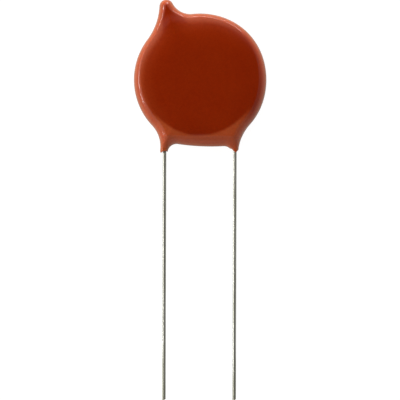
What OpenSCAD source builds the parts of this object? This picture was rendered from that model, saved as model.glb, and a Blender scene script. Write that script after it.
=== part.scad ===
// Ceramic disc capacitor with two straight wire leads, lying on its rear face.
// Origin: the point where the disc's axis meets the plane that the rear face rests on.
// +X runs across the two leads, +Y from the leads towards the drip nub, and +Z out of the
// front face. The rear half is the front half turned half way round about its own Y axis.

/* [Ceramic element] */
// Diameter of the ceramic disc
ceramic_d = 16; // [13:0.1:20]
// Thickness of the ceramic disc
ceramic_t = 1.6; // [1.2:0.05:2.2]
// Bare ceramic between the edge of each electrode and the edge of the disc
electrode_margin = 0.75; // [0.5:0.05:1.2]
// Thickness of each fired silver electrode
electrode_t = 0.05; // [0.03:0.01:0.1]

/* [Resin coating] */
// Resin outside the edge of the ceramic disc
rim_wall = 1.4; // [1.1:0.05:1.8]
// Resin over each electrode
face_cover = 1.35; // [1.1:0.05:1.8]
// Width of the rounded band around each flat face
rim_round = 1.2; // [0.9:0.05:1.3]
// Thickness that the nub and the collars thin down to before their ends round off
spur_t = 2.4; // [2:0.1:3]
// Distance past the rim over which the nub and the collars thin down
spur_run = 2; // [1.5:0.1:2.5]

/* [Drip nub] */
// Direction of the nub from the disc's axis, counted from +X
nub_angle = 115.2; // [100:0.1:130]
// Height of the nub above the rim
nub_rise = 3; // [2.4:0.05:3.5]
// Radius of the nub's tip
nub_r = 1.04; // [0.8:0.02:1.3]
// Radius of the hollow blend on the nub's steep side
nub_steep_blend = 2.85; // [2.3:0.05:3.5]
// Radius of the hollow blend on the nub's long side
nub_long_blend = 8.5; // [7:0.1:10.5]

/* [Lead collars] */
// Distance of the collars' mouths below the lowest point of the rim
mouth_drop = 0.8; // [0.6:0.05:1]
// Radius of the round end of the front lead's collar
front_collar_r = 0.57; // [0.5:0.01:0.7]
// Distance that this round end would reach past the mouth if it were not cut there
front_collar_end = 0.27; // [0.2:0.01:0.32]
// Sideways offset of this collar from its lead, towards the outside
front_collar_shift = 0.08; // [0:0.01:0.1]
// Radius of the blend between the rim and the outside of this collar
front_outer_blend = 4.3; // [3.5:0.1:5.2]
// Radius of the blend between the inside of this collar and the web
front_inner_blend = 1.3; // [1:0.05:1.6]
// Radius of the round end of the rear lead's collar
rear_collar_r = 0.47; // [0.42:0.01:0.6]
// Distance that this round end would reach past the mouth if it were not cut there
rear_collar_end = 0.15; // [0.12:0.01:0.2]
// Sideways offset of this collar from its lead, towards the outside
rear_collar_shift = 0; // [0:0.01:0.1]
// Radius of the blend between the rim and the outside of this collar
rear_outer_blend = 6.4; // [5.3:0.1:7.7]
// Radius of the blend between the inside of this collar and the web
rear_inner_blend = 1.2; // [1:0.05:1.6]
// Radius of the nearly straight lower edge of the web between the collars
web_r = 28; // [22:1:34]
// Sideways place of the lowest point of that edge
web_x = 1.2; // [0.9:0.1:1.5]
// Distance of that point below the lowest point of the rim
web_drop = 0.06; // [0.02:0.01:0.1]

/* [Leads] */
// Distance between the two leads
lead_pitch = 10; // [8.3:0.1:12]
// Diameter of the lead wire
lead_d = 0.5; // [0.4:0.02:0.6]
// Length of each lead outside its collar
lead_length = 35.5; // [25:0.1:45]
// Radius of the wire's axis in the two bends inside the coating
bend_r = 1.2; // [0.9:0.05:1.5]
// Thickness of the pressed foot that is soldered to the electrode
foot_t = 0.24; // [0.2:0.01:0.28]
// Length over which the round wire is pressed flat
press_run = 0.8; // [0.6:0.05:1]
// Distance from the end of that length to the edge of the ceramic disc
edge_clear = 0.2; // [0.1:0.05:0.4]
// Slant of the sheared end of each lead
shear_angle = 30; // [0:5:45]

/* [Solder] */
// Solder between the foot and the electrode
solder_film = 0.05; // [0.03:0.01:0.1]
// Height of the solder bead above the electrode
bead_h = 0.8; // [0.65:0.05:0.95]
// Depth of the bead's own axis below the electrode, which sets how wide the bead spreads
bead_sink = 0.3; // [0.2:0.05:0.4]
// Electrode left bare past each end of the bead
bead_inset = 0.85; // [0.6:0.05:1.2]
// Solder past the end of the foot
bead_tail = 1.2; // [0.9:0.05:1.5]

/* [Mesh] */
// Longest step along the coating's outline
outline_step = 0.6; // [0.4:0.05:1]
// Largest turn in one step along the coating's outline
outline_turn = 20; // [10:1:30]
// Steps around the coating's rim from the front face to the rear face
rim_steps = 14; // [8:2:18]

/* [Hidden] */
$fn = 96;

lead_r = lead_d / 2;
electrode_r = ceramic_d / 2 - electrode_margin;
body_r = ceramic_d / 2 + rim_wall;
body_t = ceramic_t + 2 * (electrode_t + face_cover);
mid_z = body_t / 2;
face_r = body_r - rim_round;

// Heights below are counted from the disc's middle plane.
electrode_top = ceramic_t / 2 + electrode_t;
foot_z = electrode_top + solder_film + foot_t / 2;

// Pressing keeps the wire's section, so the foot is as wide as its thickness makes it.
foot_r = PI * lead_r * lead_r / foot_t / 2;

// Where a lead crosses the edges of the ceramic disc and of the electrode
ceramic_edge_y = sqrt(pow(ceramic_d / 2, 2) - pow(lead_pitch / 2, 2));
electrode_edge_y = sqrt(pow(electrode_r, 2) - pow(lead_pitch / 2, 2));

// The bead's profile is an arc through its two ends and its top.
bead_half = electrode_edge_y - bead_inset;
bead_arc_r = (bead_half * bead_half + bead_h * bead_h) / (2 * bead_h);

// The wire leaves the collar straight, so its first bend starts at the mouth. The two
// bends carry it from the middle plane to the level of the foot in the room that is left.
mouth_y = body_r + mouth_drop;
foot_y = -(ceramic_edge_y + edge_clear + press_run);
foot_end_y = bead_half - bead_tail;
bend_run = mouth_y + foot_y;
bend_angle = atan2(bend_run, 2 * bend_r - foot_z)
    - acos(2 * bend_r / norm([bend_run, 2 * bend_r - foot_z]));
ramp = (foot_z - 2 * bend_r * (1 - cos(bend_angle))) / sin(bend_angle);

// A ball this much wider than the wire joins the stretches of wire at each end of the ramp.
joint_r = 1.02 * lead_r;

// Room past a part for the solids that trim it
past = 1;

// The outline is a ring of round bulges, [centre, radius], in anticlockwise order. Each
// is joined to the next one by a hollow blend of the radius given in the same place.
bulges = [
    [[0, 0], body_r],
    [(body_r + nub_rise - nub_r) * [cos(nub_angle), sin(nub_angle)], nub_r],
    [[0, 0], body_r],
    [
        [-lead_pitch / 2 - front_collar_shift, front_collar_r - front_collar_end - mouth_y],
        front_collar_r
    ],
    [[web_x, web_r - web_drop - body_r], web_r],
    [
        [lead_pitch / 2 + rear_collar_shift, rear_collar_r - rear_collar_end - mouth_y],
        rear_collar_r
    ]
];
blends = [
    nub_steep_blend, nub_long_blend, front_outer_blend,
    front_inner_blend, rear_inner_blend, rear_outer_blend
];

// Centre of a circle of radius r that touches bulges a and b from outside the part
function touching(a, b, r) =
    let (
        d = norm(b[0] - a[0]),
        u = (b[0] - a[0]) / d,
        along = (pow(a[1] + r, 2) - pow(b[1] + r, 2) + d * d) / (2 * d),
        out = sqrt(pow(a[1] + r, 2) - along * along)
    )
    a[0] + along * u + out * [u[1], -u[0]];

function heading(v) = atan2(v[1], v[0]);

// Points of an arc about c from the direction of v, through turn degrees, without its end
function arc(c, r, v, turn) =
    let (steps = ceil(max(abs(turn) / outline_turn, abs(turn) * PI / 180 * r / outline_step)))
    [
        for (i = [0 : steps - 1])
            let (a = heading(v) + turn * i / steps)
            c + r * [cos(a), sin(a)]
    ];

// One bulge with the blend that follows it
function bulge_and_blend(i) =
    let (
        n = len(bulges),
        this = bulges[i],
        next = bulges[(i + 1) % n],
        before = touching(bulges[(i + n - 1) % n], this, blends[(i + n - 1) % n]),
        after = touching(this, next, blends[i]),
        bulge_turn = (heading(after - this[0]) - heading(before - this[0]) + 720) % 360,
        blend_turn = (heading(this[0] - after) - heading(next[0] - after) + 720) % 360
    )
    concat(
        arc(this[0], this[1], before - this[0], bulge_turn),
        arc(after, blends[i], this[0] - after, -blend_turn)
    );

outline = [for (i = [0 : len(bulges) - 1]) each bulge_and_blend(i)];

function ease(s) = s * s * (3 - 2 * s);

// The point of the round body's rim that the outline's point p belongs to: straight above
// p on the lower side, where the collars hang down, and towards the axis on the upper side
function rim_point(p) =
    p[1] < 0 ? [p[0], -sqrt(pow(body_r, 2) - pow(p[0], 2))] : body_r * p / norm(p);

// A point of the coating: p is on the outline, and angle goes from 0 at the front face
// over 90 at the rim to 180 at the rear face. The section is half an ellipse that thins
// down where the outline stands out from the round body.
function coating_point(p, angle) =
    let (
        s = sin(angle),
        edge = face_r / body_r * rim_point(p),
        spur = min(max((norm(p) - body_r) / spur_run, 0), 1),
        half_t = body_t / 2 - (body_t - spur_t) / 2 * spur * ease(s),
        xy = edge + s * (p - edge)
    )
    [xy[0], xy[1], mid_z + half_t * cos(angle)];

module dipped_body() {
    n = len(outline);
    points = [
        for (j = [0 : rim_steps])
            for (p = outline) coating_point(p, 180 * j / rim_steps)
    ];
    front = [for (i = [n - 1 : -1 : 0]) i];
    rear = [for (i = [0 : n - 1]) rim_steps * n + i];
    sides = [
        for (j = [0 : rim_steps - 1])
            for (i = [0 : n - 1])
                let (
                    k = (i + 1) % n,
                    a = j * n + i,
                    b = j * n + k,
                    c = (j + 1) * n + k,
                    d = (j + 1) * n + i
                )
                each [[a, b, c], [a, c, d]]
    ];
    polyhedron(points, concat([front, rear], sides), convexity = 4);
}

// A bend of the wire in its own plane: it starts at the origin along +Y, and turns
// towards +Z through the given angle.
module bend(angle) {
    translate([0, 0, bend_r])
        rotate([0, 90, 0])
            rotate_extrude(angle = angle)
                translate([bend_r, 0])
                    circle(r = lead_r);
}

// Where a bend ends
function bend_end(angle) = bend_r * [0, sin(angle), 1 - cos(angle)];

// The wire's end, pressed flat: it starts round at the origin and runs along +Y.
module foot(length) {
    loose = lead_r / 20;
    intersection() {
        rotate([-90, 0, 0]) {
            cylinder(h = press_run, r1 = lead_r, r2 = foot_r);
            translate([0, 0, press_run])
                cylinder(h = length - press_run, r = foot_r);
        }
        rotate([90, 0, 90])
            translate([0, 0, -past])
                linear_extrude(2 * past)
                    polygon([
                        [0, lead_r + loose],
                        [press_run, foot_t / 2],
                        [length, foot_t / 2],
                        [length, -foot_t / 2],
                        [press_run, -foot_t / 2],
                        [0, -lead_r - loose]
                    ]);
    }
}

// The straight wire outside the collar. Its sheared end is longest on the -X side where
// long_side is 1, and on the +X side where long_side is -1.
module shaft(long_side) {
    difference() {
        translate([0, -mouth_y, 0])
            rotate([90, 0, 0])
                cylinder(h = lead_length, r = lead_r);
        translate([-long_side * lead_r, -mouth_y - lead_length, 0])
            rotate([0, 0, long_side * shear_angle])
                translate([-2 * past, -2 * past, -past])
                    cube([4 * past, 2 * past, 2 * past]);
    }
}

// A whole lead, with its foot on the +Z side of the middle plane
module lead(long_side) {
    shaft(long_side);
    translate([0, -mouth_y, 0])
        bend(bend_angle);
    translate([0, -mouth_y, 0] + bend_end(bend_angle)) {
        sphere(r = joint_r);
        rotate([bend_angle, 0, 0])
            rotate([-90, 0, 0])
                cylinder(h = ramp, r = lead_r);
    }
    translate([0, foot_y, foot_z]) {
        translate(-bend_end(bend_angle))
            sphere(r = joint_r);
        rotate([0, 180, 180])
            bend(bend_angle);
        foot(foot_end_y - foot_y);
    }
}

// A mound of solder over the foot, on the electrode's +Z face
module bead() {
    bead_r = bead_h + bead_sink;
    difference() {
        translate([0, 0, electrode_top - bead_sink])
            rotate([-90, 0, 0])
                rotate_extrude()
                    intersection() {
                        translate([bead_r - bead_arc_r, 0])
                            circle(r = bead_arc_r, $fn = 360);
                        translate([0, -bead_arc_r])
                            square([bead_r + past, 2 * bead_arc_r]);
                    }
        translate([-bead_arc_r, -bead_arc_r, electrode_top - bead_arc_r])
            cube([2 * bead_arc_r, 2 * bead_arc_r, bead_arc_r]);
        lead(1);
    }
}

module electrode() {
    translate([0, 0, ceramic_t / 2])
        cylinder(h = electrode_t, r = electrode_r);
}

// Places a piece of the front half around the front lead's axis
module on_front() {
    translate([-lead_pitch / 2, 0, mid_z])
        children();
}

// Turns a piece over and places it around the rear lead's axis
module on_rear() {
    translate([lead_pitch / 2, 0, mid_z])
        rotate([0, 180, 0])
            children();
}

module ceramic_disc() {
    color("#c9b79a")
        translate([0, 0, mid_z - ceramic_t / 2])
            cylinder(h = ceramic_t, r = ceramic_d / 2);
}

module front_electrode() {
    color("#d6d6d2")
        translate([0, 0, mid_z])
            electrode();
}

module rear_electrode() {
    color("#d6d6d2")
        translate([0, 0, mid_z])
            rotate([0, 180, 0])
                electrode();
}

module front_solder() {
    color("#a9adad")
        on_front()
            bead();
}

module rear_solder() {
    color("#a9adad")
        on_rear()
            bead();
}

module front_lead() {
    color("#8d8f88")
        on_front()
            lead(1);
}

module rear_lead() {
    color("#8d8f88")
        on_rear()
            lead(-1);
}

module coating() {
    color("#9c3a12")
        difference() {
            dipped_body();
            translate([-body_r, -mouth_y - body_r, -past])
                cube([2 * body_r, body_r, body_t + 2 * past]);
            ceramic_disc();
            front_electrode();
            rear_electrode();
            front_solder();
            rear_solder();
            front_lead();
            rear_lead();
        }
}

coating();
ceramic_disc();
front_electrode();
rear_electrode();
front_solder();
rear_solder();
front_lead();
rear_lead();
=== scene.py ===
"""Looks of the ceramic disc capacitor: a dipped resin coating, tinned leads and a light table."""

import math

import bpy
from bpy.props import FloatProperty, FloatVectorProperty, IntProperty, PointerProperty
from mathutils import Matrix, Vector


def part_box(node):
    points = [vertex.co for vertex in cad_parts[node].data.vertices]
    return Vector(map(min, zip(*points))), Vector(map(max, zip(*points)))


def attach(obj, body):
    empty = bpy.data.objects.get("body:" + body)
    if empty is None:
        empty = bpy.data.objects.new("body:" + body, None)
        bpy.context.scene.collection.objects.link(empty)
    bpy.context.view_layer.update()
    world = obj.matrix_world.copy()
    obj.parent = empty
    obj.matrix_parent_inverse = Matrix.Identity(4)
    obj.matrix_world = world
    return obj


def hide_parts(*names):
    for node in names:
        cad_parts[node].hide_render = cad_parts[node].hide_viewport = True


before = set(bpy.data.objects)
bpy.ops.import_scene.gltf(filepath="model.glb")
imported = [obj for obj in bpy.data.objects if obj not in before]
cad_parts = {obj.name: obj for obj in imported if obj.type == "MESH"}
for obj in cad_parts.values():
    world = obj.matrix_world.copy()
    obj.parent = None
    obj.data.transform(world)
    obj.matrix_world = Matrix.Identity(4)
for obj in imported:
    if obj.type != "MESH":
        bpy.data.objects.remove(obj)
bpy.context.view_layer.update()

bl_info = {
    "name": "Ceramic Disc Capacitor",
    "version": (1, 0, 0),
    "blender": (4, 5, 0),
    "location": "3D View > Sidebar > Capacitor",
    "description": "Builds a dip-coated ceramic disc capacitor around its CAD frame",
    "category": "Object",
}

MM = 0.001


def linear(code):
    """Linear colour with full alpha, from an sRGB hex code."""
    channels = [int(code[i : i + 2], 16) / 255 for i in (1, 3, 5)]
    return [c / 12.92 if c <= 0.04045 else ((c + 0.055) / 1.055) ** 2.4 for c in channels] + [1.0]


def add(tree, kind, feeds=None, **settings):
    """Adds a node with its settings. Each feed is a value, or a socket to link from."""
    node = tree.nodes.new(kind)
    for name, value in settings.items():
        setattr(node, name, value)
    for key, value in (feeds or {}).items():
        if isinstance(value, bpy.types.NodeSocket):
            tree.links.new(value, node.inputs[key])
        else:
            node.inputs[key].default_value = value
    return node


def calc(tree, operation, *values, clamp=False):
    """The result of a calculation with numbers."""
    return add(tree, "ShaderNodeMath", dict(enumerate(values)),
               operation=operation, use_clamp=clamp).outputs[0]


def vector(tree, operation, a, b=None):
    """The result of a calculation with vectors, which is a number for a length or a dot product."""
    feeds = {0: a} if b is None else {0: a, "Scale" if operation == "SCALE" else 1: b}
    node = add(tree, "ShaderNodeVectorMath", feeds, operation=operation)
    return node.outputs["Value" if operation in ("LENGTH", "DOT_PRODUCT") else "Vector"]


def split(tree, value):
    """The X, Y and Z of a vector."""
    return add(tree, "ShaderNodeSeparateXYZ", {0: value}).outputs


def ramp(tree, value, source=(0.0, 1.0), target=(0.0, 1.0), smooth=False):
    """Maps a number from the source range onto the target range, and holds it at their ends."""
    return add(tree, "ShaderNodeMapRange", dict(enumerate((value, *source, *target))),
               interpolation_type="SMOOTHSTEP" if smooth else "LINEAR").outputs[0]


def pick(tree, test, no, yes):
    """One number or another."""
    return add(tree, "GeometryNodeSwitch", {"Switch": test, "False": no, "True": yes},
               input_type="FLOAT").outputs[0]


def blend(tree, factor, a, b):
    """A colour between a and b."""
    return add(tree, "ShaderNodeMix", {"Factor": factor, 6: a, 7: b}, data_type="RGBA").outputs[2]


def noise(tree, coords, size, detail):
    """Noise with features of that size."""
    return add(tree, "ShaderNodeTexNoise", {
        "Vector": coords, "Scale": 1 / size, "Detail": detail}).outputs[0]


def cells(tree, coords, size):
    """Distance from the middle of cells of that size."""
    return add(tree, "ShaderNodeTexVoronoi", {
        "Vector": coords, "Scale": 1 / size}).outputs["Distance"]


# ---------------------------------------------------------------- what the frame gives

DISC_LOW, DISC_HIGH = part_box("ceramic_disc")
COAT_LOW, COAT_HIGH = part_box("coating")
FRONT_LOW, FRONT_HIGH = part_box("front_lead")
REAR_LOW, REAR_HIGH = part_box("rear_lead")

CERAMIC_R = (DISC_HIGH.x - DISC_LOW.x) / 2
MID_Z = (COAT_LOW.z + COAT_HIGH.z) / 2
THICKNESS = COAT_HIGH.z - COAT_LOW.z
MOUTH_Y = COAT_LOW.y
TIP_Y = FRONT_LOW.y
FRONT_X = (FRONT_LOW.x + FRONT_HIGH.x) / 2
REAR_X = (REAR_LOW.x + REAR_HIGH.x) / 2


# ---------------------------------------------------------------- settings


def length(name, description, millimetres, least=0.0, precision=5):
    """A length among the settings. It is given in millimetres and kept in metres."""
    return FloatProperty(
        name=name, description=description, default=millimetres * MM,
        min=least, unit="LENGTH", precision=precision)


class CoatingSettings(bpy.types.PropertyGroup):
    """Sizes and colours of the dipped resin coating."""

    rim_wall: length(
        "Rim Wall",
        "Resin outside the edge of the ceramic disc", 1.4)
    fullness: length(
        "Fullness",
        "How far the dried resin bulges past a true circle on its +X side", 0.12)
    squareness: length(
        "Squareness",
        "How much more it bulges there at its corners than at its side", 0.06)
    rim_round: length(
        "Rim Round",
        "Width of the rounded band around each face", 1.2)
    nub_side_round: length(
        "Rim Round at Nub",
        "Width of the rounded band on the nub's side of each face", 0.6)
    crown: length(
        "Crown",
        "How far each face falls from its middle to its edge by the leads", 0.4)
    nub_crown: length(
        "Crown at Nub",
        "How far each face falls from its middle to its edge by the nub", 0.8)
    rim_power: FloatProperty(
        name="Rim Power",
        description="Shape of the rim's section: 2 is an ellipse, and less starts with a firmer edge",
        default=1.8, min=1.0, max=4.0)
    nub_thickness: length(
        "Nub Thickness",
        "Thickness that the nub thins down to", 3.2)
    collar_thickness: length(
        "Collar Thickness",
        "Thickness that the two collars thin down to", 1.6)
    collar_round: length(
        "Collar Round",
        "Width of the rounded band around the collars", 0.4)
    spur_run: length(
        "Spur Run",
        "Distance past the rim over which the nub thins down", 2.8)
    web_top: length(
        "Web Top",
        "Distance below the disc's axis where the resin starts to thin towards the collars", 7.9)
    web_foot: length(
        "Web Foot",
        "Distance below the disc's axis where the resin is as thin as the collars", 9.9)
    nub_angle: FloatProperty(
        name="Nub Angle", description="Direction of the drip nub, counted from +X",
        default=math.radians(114.8), subtype="ANGLE")
    nub_rise: length(
        "Nub Rise",
        "Height of the nub above the rim", 3)
    nub_radius: length(
        "Nub Radius",
        "Radius of the nub's tip", 0.99)
    nub_steep_blend: length(
        "Nub Steep Blend",
        "Radius of the hollow on the nub's +X side", 2.85)
    nub_long_blend: length(
        "Nub Long Blend",
        "Radius of the hollow on the nub's -X side", 8.5)
    front_collar_radius: length(
        "Front Collar Radius",
        "Radius of the front collar's end, seen from the front", 0.54)
    front_collar_shift: length(
        "Front Collar Shift",
        "How far the front collar's end is off its wire, towards -X", 0.08)
    front_collar_end: length(
        "Front Collar End",
        "Height of the centre of the front collar's end above the mouth", 0.12)
    front_outer_blend: length(
        "Front Outer Blend",
        "Radius of the hollow outside the front collar", 4.3)
    front_inner_blend: length(
        "Front Inner Blend",
        "Radius of the hollow between the front collar and the web", 1.3)
    rear_collar_radius: length(
        "Rear Collar Radius",
        "Radius of the rear collar's end, seen from the front", 0.45)
    rear_collar_shift: length(
        "Rear Collar Shift",
        "How far the rear collar's end is off its wire, towards -X", 0.02)
    rear_collar_end: length(
        "Rear Collar End",
        "Height of the centre of the rear collar's end above the mouth", 0.22)
    rear_inner_blend: length(
        "Rear Inner Blend",
        "Radius of the hollow between the web and the rear collar", 1.2)
    rear_outer_blend: length(
        "Rear Outer Blend",
        "Radius of the hollow outside the rear collar", 6.4)
    web_radius: length(
        "Web Radius",
        "Radius of the web's lower edge, which bulges down between the collars", 28)
    web_x: length(
        "Web Centre",
        "Where the web's lower edge hangs lowest, measured along X", 1.2)
    web_drop: length(
        "Web Drop",
        "How far the web hangs below the round body", 0.06)
    ripple: length(
        "Ripple",
        "Height of the shallow waves that the resin dried with", 0.03, precision=6)
    ripple_size: length(
        "Ripple Size",
        "Distance from one shallow wave to the next", 4.5)
    mouth_chip: length(
        "Mouth Chip",
        "Roughness of the broken lower edge of each collar", 0.05, precision=6)
    section_steps: IntProperty(
        name="Section Steps", description="Steps around the rim from the front face to the rear face",
        default=56, min=8, max=96)
    over_ceramic: FloatVectorProperty(
        name="Over Ceramic", description="Colour of the resin that lies on the ceramic disc",
        subtype="COLOR", size=4, min=0.0, max=1.0, default=linear("#9F2B01"))
    resin_alone: FloatVectorProperty(
        name="Resin Alone", description="Colour of the resin that has no ceramic behind it",
        subtype="COLOR", size=4, min=0.0, max=1.0, default=linear("#C05228"))
    roughness: FloatProperty(
        name="Roughness", description="Roughness of the dipped surface",
        default=0.16, min=0.0, max=1.0, subtype="FACTOR")


class LeadSettings(bpy.types.PropertyGroup):
    """Sizes and colours of the two tinned wires."""

    diameter: length(
        "Diameter",
        "Diameter of the wire", 0.5)
    bend_radius: length(
        "Bend Radius",
        "Radius of the wire's axis in its hidden bends", 1.2)
    foot_thickness: length(
        "Foot Thickness",
        "Thickness of the pressed foot", 0.24)
    press_run: length(
        "Press Run",
        "Length over which the round wire is pressed flat", 0.8)
    foot_y: length(
        "Foot Start",
        "Where the pressing starts, measured along Y", -7.245, least=-1.0, precision=6)
    shear_angle: FloatProperty(
        name="Shear Angle", description="Slant of the sheared end",
        default=math.radians(30), subtype="ANGLE")
    tin: FloatVectorProperty(
        name="Tin", description="Colour of the clean tin plating",
        subtype="COLOR", size=4, min=0.0, max=1.0, default=linear("#CDCCC2"))
    tarnish: FloatVectorProperty(
        name="Tarnish", description="Colour of the tarnished tin plating",
        subtype="COLOR", size=4, min=0.0, max=1.0, default=linear("#A5A494"))


class StageSettings(bpy.types.PropertyGroup):
    """The light table, the tent and the camera."""

    view_width: length(
        "View Width",
        "Width of what the camera sees at the leads", 56.9)
    view_centre_x: length(
        "View Centre X",
        "Middle of what the camera sees, measured along X", 0.057, least=-1.0)
    view_centre_y: length(
        "View Centre Y",
        "Middle of what the camera sees, measured along Y", -17.1, least=-1.0)
    camera_height: FloatProperty(
        name="Camera Height", description="Height of the camera above the table",
        default=0.5, min=0.05, unit="LENGTH")
    camera_roll: FloatProperty(
        name="Camera Roll", description="Turn of the camera about its own axis",
        default=math.radians(0.17), subtype="ANGLE")
    table_glow: FloatProperty(
        name="Table Glow", description="Brightness of the light table", default=0.95, min=0.0)
    table_mirror: FloatProperty(
        name="Table Mirror", description="Brightness of the light table as the object mirrors it",
        default=0.42, min=0.0)
    tent_glow: FloatProperty(
        name="Tent Glow", description="Brightness of the tent's walls", default=0.32, min=0.0)
    top_glow: FloatProperty(
        name="Top Glow", description="Brightness of the dark top of the tent", default=0.03, min=0.0)
    strip_glow: FloatProperty(
        name="Strip Glow", description="Brightness of the two strip lamps", default=14.0, min=0.0)


# ---------------------------------------------------------------- outline of the coating


def heading(v):
    """Direction of a plane vector, in radians."""
    return math.atan2(v.y, v.x)


def touching(a, b, radius):
    """Centre of a circle that touches bulges a and b from outside the part."""
    gap = b[0] - a[0]
    d = gap.length
    u = gap / d
    along = ((a[1] + radius) ** 2 - (b[1] + radius) ** 2 + d * d) / (2 * d)
    out = math.sqrt((a[1] + radius) ** 2 - along * along)
    return a[0] + along * u + out * Vector((u.y, -u.x))


def arc(centre, radius, start, turn, step=0.12 * MM, most_turn=math.radians(5)):
    """Points of an arc from the direction start through turn, without its end."""
    steps = math.ceil(max(abs(turn) / most_turn, abs(turn) * radius / step))
    angles = [heading(start) + turn * i / steps for i in range(steps)]
    return [centre + radius * Vector((math.cos(a), math.sin(a))) for a in angles]


def coating_outline(s):
    """The ring of bulges and hollow blends that the coating's edge follows, anticlockwise."""
    body_r = CERAMIC_R + s.rim_wall
    nub = (body_r + s.nub_rise - s.nub_radius) * Vector((math.cos(s.nub_angle), math.sin(s.nub_angle)))
    middle = Vector((0.0, 0.0))
    front = Vector((FRONT_X - s.front_collar_shift, MOUTH_Y + s.front_collar_end))
    rear = Vector((REAR_X - s.rear_collar_shift, MOUTH_Y + s.rear_collar_end))
    web = Vector((s.web_x, s.web_radius - s.web_drop - body_r))
    # Each row is a bulge's centre and radius, and the radius of the blend to the next one.
    rows = [
        (middle, body_r, s.nub_steep_blend),
        (nub, s.nub_radius, s.nub_long_blend),
        (middle, body_r, s.front_outer_blend),
        (front, s.front_collar_radius, s.front_inner_blend),
        (web, s.web_radius, s.rear_inner_blend),
        (rear, s.rear_collar_radius, s.rear_outer_blend),
    ]
    points = []
    for i, (centre, radius, blend) in enumerate(rows):
        this, before, after = (centre, radius), rows[i - 1], rows[(i + 1) % len(rows)]
        enter = touching(before[:2], this, before[2])
        leave = touching(this, after[:2], blend)
        turn = (heading(leave - centre) - heading(enter - centre)) % math.tau
        points += arc(centre, radius, enter - centre, turn)
        turn = (heading(centre - leave) - heading(after[0] - leave)) % math.tau
        points += arc(leave, blend, centre - leave, -turn)
    # The resin bulges most at the corners of the +X side, and not at all on the -X side.
    full = []
    for p in points:
        a = heading(p)
        bulge = (s.fullness - s.squareness * math.cos(4 * a)) * (1 + math.cos(a)) / 2
        full.append(p * (1 + bulge / body_r))
    return full


# ---------------------------------------------------------------- node trees for shapes


def new_tree(name, inputs):
    """An empty geometry tree with a geometry input and the named inputs."""
    tree = bpy.data.node_groups.new(name, "GeometryNodeTree")
    tree.interface.new_socket("Geometry", in_out="INPUT", socket_type="NodeSocketGeometry")
    for label, kind in inputs:
        tree.interface.new_socket(label, in_out="INPUT", socket_type=kind)
    tree.interface.new_socket("Geometry", in_out="OUTPUT", socket_type="NodeSocketGeometry")
    return tree


def finish_tree(tree, made):
    """Ends a tree: smooth faces, sharp only over 50 degrees, real geometry and its material."""
    made = add(tree, "GeometryNodeSetShadeSmooth", {0: made}).outputs[0]
    bend = add(tree, "GeometryNodeInputMeshEdgeAngle").outputs[0]
    is_sharp = add(tree, "FunctionNodeCompare", {0: bend, 1: math.radians(50)}, data_type="FLOAT",
                   operation="GREATER_THAN").outputs[0]
    made = add(tree, "GeometryNodeSetShadeSmooth", {
        0: made, "Selection": is_sharp, "Shade Smooth": False}, domain="EDGE").outputs[0]
    made = add(tree, "GeometryNodeRealizeInstances", {0: made}).outputs[0]
    given = next(n for n in tree.nodes if n.bl_idname == "NodeGroupInput").outputs
    made = add(tree, "GeometryNodeSetMaterial", {0: made, "Material": given["Material"]}).outputs[0]
    add(tree, "NodeGroupOutput", {0: made})


def apply_tree(name, points, closed, tree, values):
    """Runs a tree on a line of points, and returns its result as a plain mesh object."""
    mesh = bpy.data.meshes.new(name + "_line")
    last = len(points) if closed else len(points) - 1
    edges = [(i, (i + 1) % len(points)) for i in range(last)]
    mesh.from_pydata([tuple(p) for p in points], edges, [])
    line = bpy.data.objects.new(name + "_line", mesh)
    bpy.context.scene.collection.objects.link(line)
    modifier = line.modifiers.new(name, "NODES")
    modifier.node_group = tree
    sockets = {i.name: i.identifier for i in tree.interface.items_tree if i.in_out == "INPUT"}
    for label, value in values.items():
        modifier[sockets[label]] = value
    seen = line.evaluated_get(bpy.context.evaluated_depsgraph_get())
    made = bpy.data.meshes.new_from_object(seen)
    if len(made.polygons) == 0:
        raise RuntimeError(f"the tree {tree.name} made no faces")
    made.name = name
    piece = bpy.data.objects.new(name, made)
    bpy.context.scene.collection.objects.link(piece)
    line.modifiers.clear()
    bpy.data.objects.remove(line)
    return piece


# Fixed measures of the coating's section
MERGE = 0.0005 * MM  # points nearer than this are one point
FOLD_TOP, FOLD_FOOT, FOLD_SHARE = -7 * MM, -10 * MM, 0.93  # where columns lean inwards, and how far
STRAIGHT_FROM = -5 * MM  # below this, a column runs straight up to the rim
THIN_BEFORE = -0.25  # the nub starts to thin this share of its run before the rim
NUBWARDS = (-0.2, 0.98, 0.0)  # the side where the band is narrow and the crown high
NUBWARDS_FROM, NUBWARDS_TO = -0.4, 0.9  # in body radii along that direction
CROWN_POWER = 5.0  # how late the faces fall
NOTCH_CURVE, NOTCH_SLANT = -1100.0, 0.05  # the front collar's end: hollow per metre, and tilt
POINT_SHIFT, POINT_HALF = 0.1 * MM, 0.6 * MM  # the rear collar's point: off its wire, and half its width
POINT_SLOPE, POINT_DROP = 0.95, -0.24 * MM  # its sides, and its tip from the mouth
CHIP_SCALE = 5000.0  # chips of the broken edge, 0.2 mm apart
FACE_STEPS = 10  # rings from each face's middle to its rounded band
MOUTH_LIFT = 0.08 * MM  # the collars break off this far above the CAD's
COATING_SEED = 3.0


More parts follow.
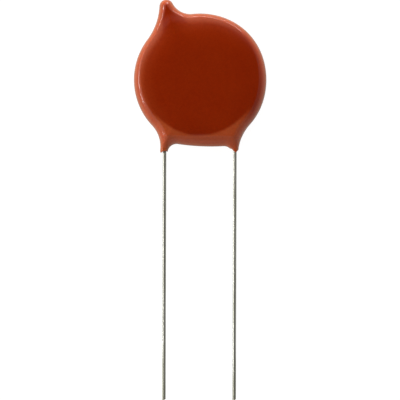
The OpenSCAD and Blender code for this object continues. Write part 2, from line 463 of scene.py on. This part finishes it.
def coating_tree():
    """Sweeps the rim's section around the outline, closes both faces and breaks the collars off."""
    flt, num, mat = "NodeSocketFloat", "NodeSocketInt", "NodeSocketMaterial"
    tree = new_tree("Dipped Coating", [
        ("Body Radius", flt), ("Face Radius", flt), ("Middle Height", flt), ("Half Thickness", flt),
        ("Crown", flt), ("Crown at Nub", flt), ("Rim Power", flt), ("Rim Round", flt),
        ("Rim Round at Nub", flt), ("Nub Half Thickness", flt), ("Nub Round", flt),
        ("Collar Half Thickness", flt), ("Collar Round", flt), ("Spur Run", flt),
        ("Section Steps", num), ("Face Steps", num), ("Ripple", flt), ("Ripple Size", flt),
        ("Web Top", flt), ("Web Foot", flt), ("Mouth Height", flt), ("Front Lead", flt),
        ("Rear Lead", flt), ("Mouth Chip", flt), ("Seed", flt), ("Material", mat)])
    given = add(tree, "NodeGroupInput").outputs

    # A grid with one column for each outline point, and one row for each step over the section.
    count = add(tree, "GeometryNodeAttributeDomainSize", {0: given["Geometry"]}).outputs["Point Count"]
    columns = calc(tree, "ADD", count, 1.0)
    face_rows = calc(tree, "MULTIPLY", given["Face Steps"], 2.0)
    last_row = calc(tree, "ADD", given["Section Steps"], face_rows)
    rows = calc(tree, "ADD", last_row, 1.0)
    grid = add(tree, "GeometryNodeMeshGrid", {
        "Size X": 1.0, "Size Y": 1.0, "Vertices X": columns, "Vertices Y": rows})
    place = split(tree, add(tree, "GeometryNodeInputPosition").outputs[0])
    column = calc(tree, "ADD", place["X"], 0.5)
    column = calc(tree, "MULTIPLY", column, count)
    column = calc(tree, "ROUND", column)
    column = calc(tree, "MODULO", column, count)
    row = calc(tree, "ADD", place["Y"], 0.5)
    row = calc(tree, "MULTIPLY", row, last_row)

    # The outline's point for this column
    sample = add(tree, "GeometryNodeSampleIndex", {
        "Geometry": given["Geometry"], "Index": column}, data_type="FLOAT_VECTOR", domain="POINT")
    tree.links.new(add(tree, "GeometryNodeInputPosition").outputs[0], sample.inputs["Value"])
    point = sample.outputs[0]
    flat = split(tree, point)
    reach = vector(tree, "LENGTH", point)

    # The rim's point that it belongs to: straight above it on the lower side, or towards the axis
    body_r = given["Body Radius"]
    square = calc(tree, "MULTIPLY", body_r, body_r)
    # A little inwards on the way down a collar, so that its upright side doesn't fold over
    inner = ramp(tree, flat["Y"], (FOLD_TOP, FOLD_FOOT), (1.0, FOLD_SHARE))
    inner = calc(tree, "MULTIPLY", flat["X"], inner)
    x_square = calc(tree, "MULTIPLY", inner, inner)
    below = calc(tree, "SUBTRACT", square, x_square)
    below = calc(tree, "MAXIMUM", below, 0.0)
    below = calc(tree, "SQRT", below)
    below = calc(tree, "MULTIPLY", below, -1.0)
    below = add(tree, "ShaderNodeCombineXYZ", {0: inner, 1: below}).outputs[0]
    share = calc(tree, "DIVIDE", body_r, reach)
    above = vector(tree, "SCALE", point, share)
    low = ramp(tree, flat["Y"], (0.0, STRAIGHT_FROM), smooth=True)
    rim = add(tree, "ShaderNodeMix", {"Factor": low, 4: above, 5: below}, data_type="VECTOR").outputs[1]
    share = calc(tree, "DIVIDE", given["Face Radius"], body_r)
    edge = vector(tree, "SCALE", rim, share)

    # Steps along the section: 0 to 1 from the front face over the rim to the rear face
    step = calc(tree, "SUBTRACT", row, given["Face Steps"])
    step = calc(tree, "DIVIDE", step, given["Section Steps"], clamp=True)
    angle = calc(tree, "MULTIPLY", step, math.pi)
    sine = calc(tree, "SINE", angle)
    side = calc(tree, "COSINE", angle)
    side = calc(tree, "SIGN", side)
    other = calc(tree, "SUBTRACT", last_row, row)
    spread = calc(tree, "MINIMUM", row, other)
    spread = calc(tree, "DIVIDE", spread, given["Face Steps"], clamp=True)

    # Place across the disc
    out = vector(tree, "SUBTRACT", point, edge)
    out = vector(tree, "SCALE", out, sine)
    out = vector(tree, "ADD", edge, out)
    out = vector(tree, "SCALE", out, spread)
    out_xyz = split(tree, out)
    reach = vector(tree, "LENGTH", out)

    # The surface rises with the distance from the outline, over a rounded band. The band narrows
    # and the resin thins down where the nub and the collars stand out from the round body.
    past = calc(tree, "SUBTRACT", reach, body_r)
    past = calc(tree, "DIVIDE", past, given["Spur Run"])
    past = ramp(tree, past, (THIN_BEFORE, 1.0), smooth=True)
    is_collar = add(tree, "FunctionNodeCompare", {0: out_xyz["Y"], 1: 0.0},
                    data_type="FLOAT", operation="LESS_THAN").outputs[0]
    hang = ramp(tree, out_xyz["Y"], (given["Web Top"], given["Web Foot"]), smooth=True)
    past = pick(tree, is_collar, past, hang)
    half = pick(tree, is_collar, given["Nub Half Thickness"], given["Collar Half Thickness"])
    half = ramp(tree, past, target=(given["Half Thickness"], half))
    band = pick(tree, is_collar, given["Nub Round"], given["Collar Round"])
    nubwards = vector(tree, "DOT_PRODUCT", out, NUBWARDS)
    nubwards = calc(tree, "DIVIDE", nubwards, body_r)
    nubwards = ramp(tree, nubwards, (NUBWARDS_FROM, NUBWARDS_TO), smooth=True)
    rim_band = ramp(tree, nubwards, target=(given["Rim Round"], given["Rim Round at Nub"]))
    band = ramp(tree, past, target=(rim_band, band))
    near = add(tree, "GeometryNodeProximity", {
        "Geometry": given["Geometry"], "Sample Position": out}, target_element="EDGES").outputs["Distance"]
    fall = calc(tree, "DIVIDE", near, body_r, clamp=True)
    fall = calc(tree, "SUBTRACT", 1.0, fall)
    fall = calc(tree, "POWER", fall, CROWN_POWER)
    crown = ramp(tree, nubwards, target=(given["Crown"], given["Crown at Nub"]))
    fall = calc(tree, "MULTIPLY", fall, crown)
    left = calc(tree, "SUBTRACT", 1.0, past)
    fall = calc(tree, "MULTIPLY", fall, left)
    half = calc(tree, "SUBTRACT", half, fall)
    # Shallow waves of the dried resin, others on the rear face than on the front
    lift = add(tree, "ShaderNodeCombineXYZ", {2: side}).outputs[0]
    lift = vector(tree, "ADD", out, lift)
    scale = calc(tree, "DIVIDE", 1.0, given["Ripple Size"])
    wave = add(tree, "ShaderNodeTexNoise", {
        "Vector": lift, "Scale": scale, "W": given["Seed"], "Detail": 1.0},
        noise_dimensions="4D").outputs[0]
    wave = calc(tree, "MULTIPLY", wave, given["Ripple"])
    half = calc(tree, "SUBTRACT", half, wave)
    curve = calc(tree, "DIVIDE", near, band, clamp=True)
    curve = calc(tree, "SUBTRACT", 1.0, curve)
    curve = calc(tree, "POWER", curve, given["Rim Power"])
    curve = calc(tree, "SUBTRACT", 1.0, curve, clamp=True)
    curve = calc(tree, "SQRT", curve)
    height = calc(tree, "MULTIPLY", half, curve)
    height = calc(tree, "MULTIPLY_ADD", height, side, given["Middle Height"])
    place = add(tree, "ShaderNodeCombineXYZ", {0: out_xyz["X"], 1: out_xyz["Y"], 2: height}).outputs[0]
    made = add(tree, "GeometryNodeStoreNamedAttribute", {
        0: grid.outputs["Mesh"], "Name": "rim_distance", "Value": near},
        data_type="FLOAT", domain="POINT").outputs[0]
    made = add(tree, "GeometryNodeSetPosition", {0: made, "Position": place}).outputs[0]
    made = add(tree, "GeometryNodeMergeByDistance", {0: made, "Distance": MERGE}).outputs[0]
    # The grid's faces look inwards after the sweep.
    made = add(tree, "GeometryNodeFlipFaces", {0: made}).outputs[0]

    # The collars end in a broken edge: nothing reaches below it. Its two sides hang lower than
    # its middle on the front lead, and it hangs in a point beside the rear lead.
    here = add(tree, "GeometryNodeInputPosition").outputs[0]
    at = split(tree, here)
    across = calc(tree, "SUBTRACT", at["X"], given["Front Lead"])
    notch = calc(tree, "MULTIPLY_ADD", across, NOTCH_CURVE, NOTCH_SLANT)
    notch = calc(tree, "MULTIPLY", notch, across)
    across = calc(tree, "SUBTRACT", at["X"], given["Rear Lead"])
    across = calc(tree, "SUBTRACT", across, POINT_SHIFT)
    across = calc(tree, "ABSOLUTE", across)
    across = calc(tree, "MINIMUM", across, POINT_HALF)
    point = calc(tree, "MULTIPLY_ADD", across, POINT_SLOPE, POINT_DROP)
    is_rear = add(tree, "FunctionNodeCompare", {0: at["X"], 1: 0.0},
                  data_type="FLOAT", operation="GREATER_THAN").outputs[0]
    sag = pick(tree, is_rear, notch, point)
    sag = calc(tree, "ADD", sag, given["Mouth Height"])
    chips = add(tree, "ShaderNodeTexNoise", {
        "Vector": here, "Scale": CHIP_SCALE, "W": given["Seed"], "Detail": 2.0},
        noise_dimensions="4D").outputs[0]
    chips = calc(tree, "SUBTRACT", chips, 0.5)
    lowest = calc(tree, "MULTIPLY_ADD", chips, given["Mouth Chip"], sag)
    kept = calc(tree, "MAXIMUM", at["Y"], lowest)
    place = add(tree, "ShaderNodeCombineXYZ", {0: at["X"], 1: kept, 2: at["Z"]}).outputs[0]
    made = add(tree, "GeometryNodeSetPosition", {0: made, "Position": place}).outputs[0]

    finish_tree(tree, made)
    return tree


def wire_tree():
    """Sweeps a round wire along a line, presses its foot flat and shears its far end."""
    flt, num, mat = "NodeSocketFloat", "NodeSocketInt", "NodeSocketMaterial"
    tree = new_tree("Tinned Wire", [
        ("Radius", flt), ("Around", num), ("Lead", flt), ("Foot Height", flt), ("Press Start", flt),
        ("Press End", flt), ("Foot Half Width", flt), ("Foot Half Thickness", flt),
        ("Tip", flt), ("Shear Slope", flt), ("Material", mat)])
    given = add(tree, "NodeGroupInput").outputs
    curve = add(tree, "GeometryNodeMeshToCurve", {0: given["Geometry"]}).outputs[0]
    ring = add(tree, "GeometryNodeCurvePrimitiveCircle", {
        "Resolution": given["Around"], "Radius": given["Radius"]}).outputs[0]
    made = add(tree, "GeometryNodeCurveToMesh", {
        "Curve": curve, "Profile Curve": ring, "Fill Caps": True}).outputs[0]

    at = split(tree, add(tree, "GeometryNodeInputPosition").outputs[0])
    pressed = ramp(tree, at["Y"], (given["Press Start"], given["Press End"]), smooth=True)
    wide = calc(tree, "DIVIDE", given["Foot Half Width"], given["Radius"])
    wide = ramp(tree, pressed, target=(1.0, wide))
    thin = calc(tree, "DIVIDE", given["Foot Half Thickness"], given["Radius"])
    thin = ramp(tree, pressed, target=(1.0, thin))
    across = calc(tree, "SUBTRACT", at["X"], given["Lead"])
    x = calc(tree, "MULTIPLY_ADD", across, wide, given["Lead"])
    up = calc(tree, "SUBTRACT", at["Z"], given["Foot Height"])
    z = calc(tree, "MULTIPLY_ADD", up, thin, given["Foot Height"])

    # The sheared end is longest on the -X side.
    slope = calc(tree, "ADD", across, given["Radius"])
    slope = calc(tree, "MULTIPLY_ADD", slope, given["Shear Slope"], given["Tip"])
    y = calc(tree, "MAXIMUM", at["Y"], slope)
    place = add(tree, "ShaderNodeCombineXYZ", {0: x, 1: y, 2: z}).outputs[0]
    made = add(tree, "GeometryNodeSetPosition", {0: made, "Position": place}).outputs[0]

    finish_tree(tree, made)
    return tree


# ---------------------------------------------------------------- materials


def new_material(name):
    """A material with an empty tree, its Principled shader and its object coordinates."""
    material = bpy.data.materials.new(name)
    material.use_nodes = True
    tree = material.node_tree
    tree.nodes.clear()
    shader = add(tree, "ShaderNodeBsdfPrincipled")
    add(tree, "ShaderNodeOutputMaterial", {"Surface": shader.outputs[0]})
    return material, tree, shader, add(tree, "ShaderNodeTexCoord").outputs["Object"]


# Where the resin lets light through
WEB_FROM, WEB_TO = -0.1 * MM, 0.45 * MM  # web: from and to this far outside the ceramic
LOW_FROM, LOW_TO = -3.5 * MM, -6.5 * MM  # web: below these heights
BAND_LIT_SIDE = (-0.85, 0.5, 0.0)  # the side that the tent lights most, where the light band is painted wider and stronger
BAND_LIT_SIDE_FROM, BAND_LIT_SIDE_TO = -4 * MM, 5 * MM  # along that direction
BAND_LOW, BAND_HIGH, BAND_NUB = 1.1 * MM, 2.1 * MM, 1.0 * MM  # width of the light band: away from the tent's light, on its lit side where painted light widens it, and at the nub
BAND_END = 0.2 * MM  # it is full this far from the outline
MOST_LOW = 0.8  # strength of the band away from the tent's light, where it is painted weaker as shade
DRIP_FROM, DRIP_TO = 7 * MM, 9 * MM  # nub: from and to this far from the axis
DRIP_OUTER, DRIP_INNER = 2.4 * MM, 0.9 * MM  # nub: this far to either side
LIT_EDGE_FROM, LIT_EDGE_TO, LIT_EDGE_MOST = 3.4 * MM, 1.2 * MM, 0.15  # painted light: the face lightens towards its edge on the tent's lit side
PALE_FROM, PALE_MOST = 0.45 * MM, 0.55  # pale resin at the outline, with a painted reflection there
CLOUD_DEPTH = (0.86, 0.72, 0.7)  # how much darker the pigment's clouds are, per channel


def emboss(tree, shader, height, strength, distance):
    """Lets a pattern raise the surface by up to that distance."""
    bump = add(tree, "ShaderNodeBump", {"Height": height, "Strength": strength, "Distance": distance})
    tree.links.new(bump.outputs[0], shader.inputs["Normal"])


def epoxy_resin(s):
    """Dipped epoxy resin, cured glossy: pigment tints it, and the ceramic darkens it from behind."""
    material, tree, shader, coords = new_material("Dipped Epoxy Resin")
    # Distance from the disc's axis, wavered by up to 0.4 mm so that the ceramic's edge isn't a
    # drawn circle
    flat = vector(tree, "MULTIPLY", coords, (1.0, 1.0, 0.0))
    reach = vector(tree, "LENGTH", flat)
    waver = noise(tree, coords, 6 * MM, 2.0)
    reach = calc(tree, "MULTIPLY_ADD", waver, 0.4 * MM, reach)
    # Between the leads there is only resin below the ceramic's edge, so that shows crisply.
    y = split(tree, coords)["Y"]
    web = ramp(tree, reach, (CERAMIC_R + WEB_FROM, CERAMIC_R + WEB_TO), smooth=True)
    low = ramp(tree, y, (LOW_FROM, LOW_TO), smooth=True)
    web = calc(tree, "MULTIPLY", web, low)
    # All round, light comes through the last millimetre before the outline. Painted light: on the upper -X
    # side, where the tent is lightest, the band reaches further in and the face is painted lighter towards
    # its edge; on the lower +X side the band is painted weaker, as shade.
    inward = add(tree, "ShaderNodeAttribute", attribute_name="rim_distance").outputs["Fac"]
    lit_share = vector(tree, "DOT_PRODUCT", coords, BAND_LIT_SIDE)
    lit_share = ramp(tree, lit_share, (BAND_LIT_SIDE_FROM, BAND_LIT_SIDE_TO), smooth=True)
    # Painted light: the band reaches further in on the tent's lit side.
    start = ramp(tree, lit_share, target=(BAND_LOW, BAND_HIGH))
    # The nub is a thick drip, and only its sides let light through.
    c, d = math.cos(s.nub_angle), math.sin(s.nub_angle)
    along = vector(tree, "DOT_PRODUCT", coords, (c, d, 0.0))
    across = vector(tree, "DOT_PRODUCT", coords, (d, -c, 0.0))
    across = calc(tree, "ABSOLUTE", across)
    drip = ramp(tree, along, (DRIP_FROM, DRIP_TO), smooth=True)
    across = ramp(tree, across, (DRIP_OUTER, DRIP_INNER), smooth=True)
    drip = calc(tree, "MULTIPLY", drip, across)
    start = ramp(tree, drip, target=(start, BAND_NUB))
    # Painted shade: the band is weaker away from the tent's light.
    most = ramp(tree, lit_share, target=(MOST_LOW, 1.0))
    thin = ramp(tree, inward, (start, BAND_END), (0.0, most), smooth=True)
    # Painted light: the face lightens towards its edge where the tent lights it, but not on the nub.
    glow = ramp(tree, inward, (LIT_EDGE_FROM, LIT_EDGE_TO), (0.0, LIT_EDGE_MOST), smooth=True)
    glow = calc(tree, "MULTIPLY", glow, lit_share)
    drip = calc(tree, "SUBTRACT", 1.0, drip)
    glow = calc(tree, "MULTIPLY", glow, drip)
    # Resin without ceramic behind it, together with the painted light of the lit side
    clear = calc(tree, "MAXIMUM", web, thin)
    clear = calc(tree, "MAXIMUM", clear, glow)
    # Pigment settles in clouds about 5 mm across.
    cloud = add(tree, "ShaderNodeTexNoise", {"Vector": coords, "Scale": 1 / (5 * MM), "Detail": 3.0,
                                             "Roughness": 0.55}).outputs[0]
    deep = [c * f for c, f in zip(s.over_ceramic, CLOUD_DEPTH)]
    over = blend(tree, cloud, deep + [1.0], list(s.over_ceramic))
    colour = blend(tree, clear, over, list(s.resin_alone))
    # The thinnest resin, right at the outline, is paler, and a painted reflection of the bright
    # surroundings at the grazing edge lightens it further.
    pale = ramp(tree, inward, (PALE_FROM, 0.0), (0.0, PALE_MOST))
    colour = blend(tree, pale, colour, linear("#BE7C4C"))
    # Filler grains of about 0.15 mm, drawn coarser than real so that they show
    grain = noise(tree, coords, 0.3 * MM, 2.0)
    grain = ramp(tree, grain, (0.3, 0.7), (0.93, 1.07))
    colour = vector(tree, "SCALE", colour, grain)
    tree.links.new(colour, shader.inputs["Base Color"])
    gloss = noise(tree, coords, 2.5 * MM, 2.0)
    gloss = ramp(tree, gloss, target=(s.roughness - 0.05, s.roughness + 0.06))
    tree.links.new(gloss, shader.inputs["Roughness"])
    # Orange peel of the cured skin, about 1 mm from hump to hump
    peel = noise(tree, coords, 1.1 * MM, 2.0)
    emboss(tree, shader, peel, 0.25, 0.012 * MM)
    shader.inputs["IOR"].default_value = 1.5
    shader.inputs["Specular IOR Level"].default_value = 0.38
    shader.inputs["Subsurface Weight"].default_value = 0.15
    shader.inputs["Subsurface Radius"].default_value = (1.0, 0.3, 0.1)
    shader.inputs["Subsurface Scale"].default_value = 0.6 * MM
    return material


def tinned_copper(s):
    """Tin-plated copper wire, drawn through a die: satin, with faint lengthwise lines and tarnish."""
    material, tree, shader, coords = new_material("Tinned Copper Wire")
    # Tarnish in patches a few millimetres long and narrower than the wire is round
    long = add(tree, "ShaderNodeMapping", {
        "Vector": coords, "Scale": (1 / (0.6 * MM), 1 / (6 * MM), 1 / (0.6 * MM))}).outputs[0]
    patch = noise(tree, long, 1.0, 3.0)
    patch = ramp(tree, patch, (0.35, 0.7))
    # The wire is darker and rougher over the last 4.5 mm towards its cut ends.
    y = split(tree, coords)["Y"]
    tip = ramp(tree, y, (TIP_Y + 4.5 * MM, TIP_Y + 1 * MM), (0.0, 0.6))
    patch = calc(tree, "ADD", patch, tip, clamp=True)
    colour = blend(tree, patch, list(s.tin), list(s.tarnish))
    tree.links.new(colour, shader.inputs["Base Color"])
    rough = ramp(tree, patch, target=(0.28, 0.42))
    tree.links.new(rough, shader.inputs["Roughness"])
    # Die lines, about 0.08 mm apart around the wire
    lines = add(tree, "ShaderNodeMapping", {
        "Vector": coords, "Scale": (1 / (0.08 * MM), 1 / (9 * MM), 1 / (0.08 * MM))}).outputs[0]
    lines = noise(tree, lines, 1.0, 2.0)
    emboss(tree, shader, lines, 0.3, 0.004 * MM)
    shader.inputs["Metallic"].default_value = 1.0
    return material


def sintered_ceramic():
    """Sintered titanate ceramic: matt, pale brown, with pores and darker spots from firing."""
    material, tree, shader, coords = new_material("Sintered Titanate Ceramic")
    spots = noise(tree, coords, 2 * MM, 4.0)
    colour = blend(tree, spots, linear("#B79F7C"), linear("#D8C8A8"))
    tree.links.new(colour, shader.inputs["Base Color"])
    # Pores about 0.15 mm apart
    pores = cells(tree, coords, 0.15 * MM)
    emboss(tree, shader, pores, 0.3, 0.01 * MM)
    shader.inputs["Roughness"].default_value = 0.75
    return material


def fired_silver():
    """Silver paste, screen-printed and fired: dull white metal with the mesh's faint weave."""
    material, tree, shader, coords = new_material("Fired Silver Paste")
    flow = noise(tree, coords, 1.5 * MM, 3.0)
    colour = blend(tree, flow, linear("#C9C8C2"), linear("#E3E2DD"))
    tree.links.new(colour, shader.inputs["Base Color"])
    # The screen's threads are 0.1 mm apart.
    weave = add(tree, "ShaderNodeTexWave", {
        "Vector": coords, "Scale": 0.31 / (0.1 * MM), "Distortion": 1.0}).outputs["Fac"]
    emboss(tree, shader, weave, 0.2, 0.003 * MM)
    shader.inputs["Metallic"].default_value = 1.0
    shader.inputs["Roughness"].default_value = 0.5
    return material


def soft_solder():
    """Tin-silver solder, frozen from a melt: bright grey, with a frosty grain."""
    material, tree, shader, coords = new_material("Soft Solder")
    frost = cells(tree, coords, 0.25 * MM)
    colour = blend(tree, frost, linear("#A9ABAB"), linear("#C8CACA"))
    tree.links.new(colour, shader.inputs["Base Color"])
    rough = ramp(tree, frost, target=(0.25, 0.45))
    tree.links.new(rough, shader.inputs["Roughness"])
    emboss(tree, shader, frost, 0.25, 0.008 * MM)
    shader.inputs["Metallic"].default_value = 1.0
    return material


# ---------------------------------------------------------------- operators


def dress(names, material):
    """Gives CAD nodes a material."""
    for name in names:
        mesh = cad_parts[name].data
        mesh.materials.clear()
        mesh.materials.append(material)


def place(piece, node, slot):
    """Lets a finished piece stand for a CAD node."""
    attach(piece, "root")
    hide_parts(node)


class CAPACITOR_OT_coating(bpy.types.Operator):
    """Build the dipped resin coating with its nub, its rim and its broken-off collars"""

    bl_idname = "capacitor.coating"
    bl_label = "Coating"

    def execute(self, context):
        s = context.scene.capacitor_coating
        body_r = CERAMIC_R + s.rim_wall
        outline = [p.to_3d() for p in coating_outline(s)]
        piece = apply_tree("dipped_coating", outline, True, coating_tree(), {
            "Body Radius": body_r, "Face Radius": body_r - s.rim_round, "Middle Height": MID_Z,
            "Half Thickness": THICKNESS / 2, "Crown": s.crown, "Crown at Nub": s.nub_crown,
            "Rim Power": s.rim_power, "Rim Round": s.rim_round, "Rim Round at Nub": s.nub_side_round,
            "Nub Half Thickness": s.nub_thickness / 2, "Nub Round": s.nub_radius,
            "Collar Half Thickness": s.collar_thickness / 2, "Collar Round": s.collar_round,
            "Spur Run": s.spur_run, "Section Steps": s.section_steps, "Face Steps": FACE_STEPS,
            "Ripple": s.ripple, "Ripple Size": s.ripple_size, "Web Top": -s.web_top,
            "Web Foot": -s.web_foot, "Mouth Height": MOUTH_Y + MOUTH_LIFT, "Front Lead": FRONT_X,
            "Rear Lead": REAR_X, "Mouth Chip": s.mouth_chip, "Seed": COATING_SEED,
            "Material": epoxy_resin(s)})
        place(piece, "coating", "coating_resin")
        return {"FINISHED"}


BEND_STEPS = 10  # along each hidden bend
PRESS_STEPS = 8  # along the pressed transition
AROUND_STEPS = 32  # around the wire
TIP_ROOM = 0.5 * MM  # straight piece that the slanted cut stays within


class CAPACITOR_OT_leads(bpy.types.Operator):
    """Build both tinned wires with their hidden bends, pressed feet and sheared ends"""

    bl_idname = "capacitor.leads"
    bl_label = "Leads"

    def execute(self, context):
        s = context.scene.capacitor_leads
        tree, material = wire_tree(), tinned_copper(s)
        radius = s.diameter / 2
        foot_half = s.foot_thickness / 2
        # Pressing keeps the wire's section, so the foot widens as it gets thinner.
        foot_half_width = math.pi * radius * radius / s.foot_thickness / 2
        for name, low, high, side, x in (
                ("front", FRONT_LOW, FRONT_HIGH, 1, FRONT_X), ("rear", REAR_LOW, REAR_HIGH, -1, REAR_X)):
            # In the wire's own plane, y and the height above the middle plane: the two bends
            # and the straight piece between them have to climb foot_z over the run.
            outer = high.z if side > 0 else low.z
            foot_z = abs(outer - MID_Z) - foot_half
            run = s.foot_y - MOUTH_Y
            lift = 2 * s.bend_radius - foot_z
            turn = math.atan2(run, lift) - math.acos(2 * s.bend_radius / math.hypot(run, lift))
            line = [(TIP_Y, 0.0), (TIP_Y + TIP_ROOM, 0.0)]
            for i in range(BEND_STEPS + 1):
                a = turn * i / BEND_STEPS
                line.append((MOUTH_Y + s.bend_radius * math.sin(a), s.bend_radius * (1 - math.cos(a))))
            for i in range(BEND_STEPS, -1, -1):
                a = turn * i / BEND_STEPS
                line.append((
                    s.foot_y - s.bend_radius * math.sin(a), foot_z - s.bend_radius * (1 - math.cos(a))))
            for i in range(1, PRESS_STEPS + 1):
                line.append((s.foot_y + s.press_run * i / PRESS_STEPS, foot_z))
            line.append((high.y, foot_z))
            points = [(x, y, MID_Z + side * z) for y, z in line]
            piece = apply_tree(f"{name}_wire", points, False, tree, {
                "Radius": radius, "Around": AROUND_STEPS, "Lead": x, "Foot Height": MID_Z + side * foot_z,
                "Press Start": s.foot_y, "Press End": s.foot_y + s.press_run,
                "Foot Half Width": foot_half_width, "Foot Half Thickness": foot_half,
                "Tip": TIP_Y, "Shear Slope": math.tan(s.shear_angle), "Material": material})
            place(piece, f"{name}_lead", "tinned_wire")
        return {"FINISHED"}


class CAPACITOR_OT_element(bpy.types.Operator):
    """Finish the ceramic disc and its two fired electrodes"""

    bl_idname = "capacitor.element"
    bl_label = "Ceramic Element"

    def execute(self, context):
        dress(["ceramic_disc"], sintered_ceramic())
        dress(["front_electrode", "rear_electrode"], fired_silver())
        return {"FINISHED"}


class CAPACITOR_OT_solder(bpy.types.Operator):
    """Finish the solder beads that join the leads to the electrodes"""

    bl_idname = "capacitor.solder"
    bl_label = "Solder"

    def execute(self, context):
        dress(["front_solder", "rear_solder"], soft_solder())
        return {"FINISHED"}


TABLE_HALF = 1.5  # metres from the middle of the table to its edge
TABLE_GAP = 0.05 * MM  # below the part, so that the two surfaces don't meet
LIT_SIDE = (-0.68, 0.62, 0.38)  # the side of the tent that is lightest
LIT_GAIN = 3.3  # how much lighter the tent is there
TOP_FROM, TOP_TO = 0.78, 0.93  # sine of the height where the dark top starts and is full
LAMP_DISTANCE = 0.35  # metres from the disc's middle
# Strip lamps: direction from +X and height above the table in degrees, length and width in
# metres, and how bright they are beside the Strip Glow setting
STRIPS = (("left_strip", 173, 12, 0.36, 0.02, 1.9), ("right_strip", 78, 4, 0.34, 0.03, 2.2))
SENSOR = 36.0  # millimetres


class CAPACITOR_OT_stage(bpy.types.Operator):
    """Set up the light table, the tent, the lamps and the camera"""

    bl_idname = "capacitor.stage"
    bl_label = "Stage"

    def execute(self, context):
        scene = context.scene
        s = scene.capacitor_stage
        scene.view_settings.view_transform = "Standard"

        mesh = bpy.data.meshes.new("light_table")
        corners = [(x * TABLE_HALF, y * TABLE_HALF, COAT_LOW.z - TABLE_GAP)
                   for x, y in ((-1, -1), (1, -1), (1, 1), (-1, 1))]
        mesh.from_pydata(corners, [], [(0, 1, 2, 3)])
        table = bpy.data.objects.new("light_table", mesh)
        scene.collection.objects.link(table)
        # Opal acrylic, lit evenly from below
        material, tree, shader, _ = new_material("Opal Acrylic")
        shader.inputs["Base Color"].default_value = linear("#6E6E6C")
        shader.inputs["Roughness"].default_value = 0.8
        shader.inputs["Emission Color"].default_value = (1.0, 1.0, 1.0, 1.0)
        # Seen straight on the table is white, and its mirror image in resin and metal is dimmer.
        seen = add(tree, "ShaderNodeLightPath").outputs["Is Camera Ray"]
        glow = ramp(tree, seen, target=(s.table_mirror, s.table_glow))
        tree.links.new(glow, shader.inputs["Emission Strength"])
        mesh.materials.append(material)

        # The tent is grey, lighter towards its lit side, and dark overhead.
        world = bpy.data.worlds.new("Tent")
        scene.world = world
        world.use_nodes = True
        tree = world.node_tree
        tree.nodes.clear()
        direction = add(tree, "ShaderNodeTexCoord").outputs["Generated"]
        z = split(tree, direction)["Z"]
        lit = vector(tree, "DOT_PRODUCT", direction, LIT_SIDE)
        lit = ramp(tree, lit, (-0.6, 1.0), (s.tent_glow, s.tent_glow * LIT_GAIN), smooth=True)
        glow = ramp(tree, z, (TOP_FROM, TOP_TO), (lit, s.top_glow), smooth=True)
        sky = add(tree, "ShaderNodeBackground", {"Color": (1.0, 1.0, 1.0, 1.0), "Strength": glow})
        add(tree, "ShaderNodeOutputWorld", {"Surface": sky.outputs[0]})

        target = Vector((0.0, 0.0, MID_Z))
        for name, around, rise, long, wide, gain in STRIPS:
            lamp = bpy.data.lights.new(name, "AREA")
            lamp.shape = "RECTANGLE"
            lamp.size = long
            lamp.size_y = wide
            # Radiance times area, so that a strip is as bright to look at as the glow says
            lamp.energy = s.strip_glow * gain * long * wide * math.pi
            a, e = math.radians(around), math.radians(rise)
            lamp_object = bpy.data.objects.new(name, lamp)
            ray = Vector((math.cos(a) * math.cos(e), math.sin(a) * math.cos(e), math.sin(e)))
            lamp_object.location = target + LAMP_DISTANCE * ray
            lamp_object.rotation_euler = (-ray).to_track_quat("-Z", "Y").to_euler()
            scene.collection.objects.link(lamp_object)

        view = bpy.data.cameras.new("camera")
        view.sensor_width = SENSOR
        view.lens = SENSOR * (s.camera_height - MID_Z) / s.view_width
        view.clip_start = 0.01
        view.clip_end = 10.0
        camera = bpy.data.objects.new("camera", view)
        camera.location = (s.view_centre_x, s.view_centre_y, s.camera_height)
        camera.rotation_euler.z = s.camera_roll
        scene.collection.objects.link(camera)
        scene.camera = camera
        return {"FINISHED"}


class CAPACITOR_PT_panel(bpy.types.Panel):
    """Sizes, colours and build steps of the capacitor"""

    bl_idname = "CAPACITOR_PT_panel"
    bl_label = "Ceramic Disc Capacitor"
    bl_space_type = "VIEW_3D"
    bl_region_type = "UI"
    bl_category = "Capacitor"

    def draw(self, context):
        for label, settings, operators in (
                ("Coating", context.scene.capacitor_coating, ("capacitor.coating",)),
                ("Leads", context.scene.capacitor_leads, ("capacitor.leads",)),
                ("Stage", context.scene.capacitor_stage, ("capacitor.stage",))):
            box = self.layout.box()
            box.label(text=label)
            for name in settings.__annotations__:
                box.prop(settings, name)
            for operator in operators:
                box.operator(operator)
        box = self.layout.box()
        box.label(text="Inside")
        box.operator("capacitor.element")
        box.operator("capacitor.solder")


CLASSES = (
    CoatingSettings, LeadSettings, StageSettings,
    CAPACITOR_OT_coating, CAPACITOR_OT_leads, CAPACITOR_OT_element, CAPACITOR_OT_solder,
    CAPACITOR_OT_stage, CAPACITOR_PT_panel,
)


def register():
    for cls in CLASSES:
        bpy.utils.register_class(cls)
    bpy.types.Scene.capacitor_coating = PointerProperty(type=CoatingSettings)
    bpy.types.Scene.capacitor_leads = PointerProperty(type=LeadSettings)
    bpy.types.Scene.capacitor_stage = PointerProperty(type=StageSettings)


def unregister():
    del bpy.types.Scene.capacitor_stage
    del bpy.types.Scene.capacitor_leads
    del bpy.types.Scene.capacitor_coating
    for cls in reversed(CLASSES):
        bpy.utils.unregister_class(cls)


def main():
    register()
    bpy.ops.capacitor.coating()
    bpy.ops.capacitor.leads()
    bpy.ops.capacitor.element()
    bpy.ops.capacitor.solder()
    bpy.ops.capacitor.stage()


if __name__ == "__main__":
    main()
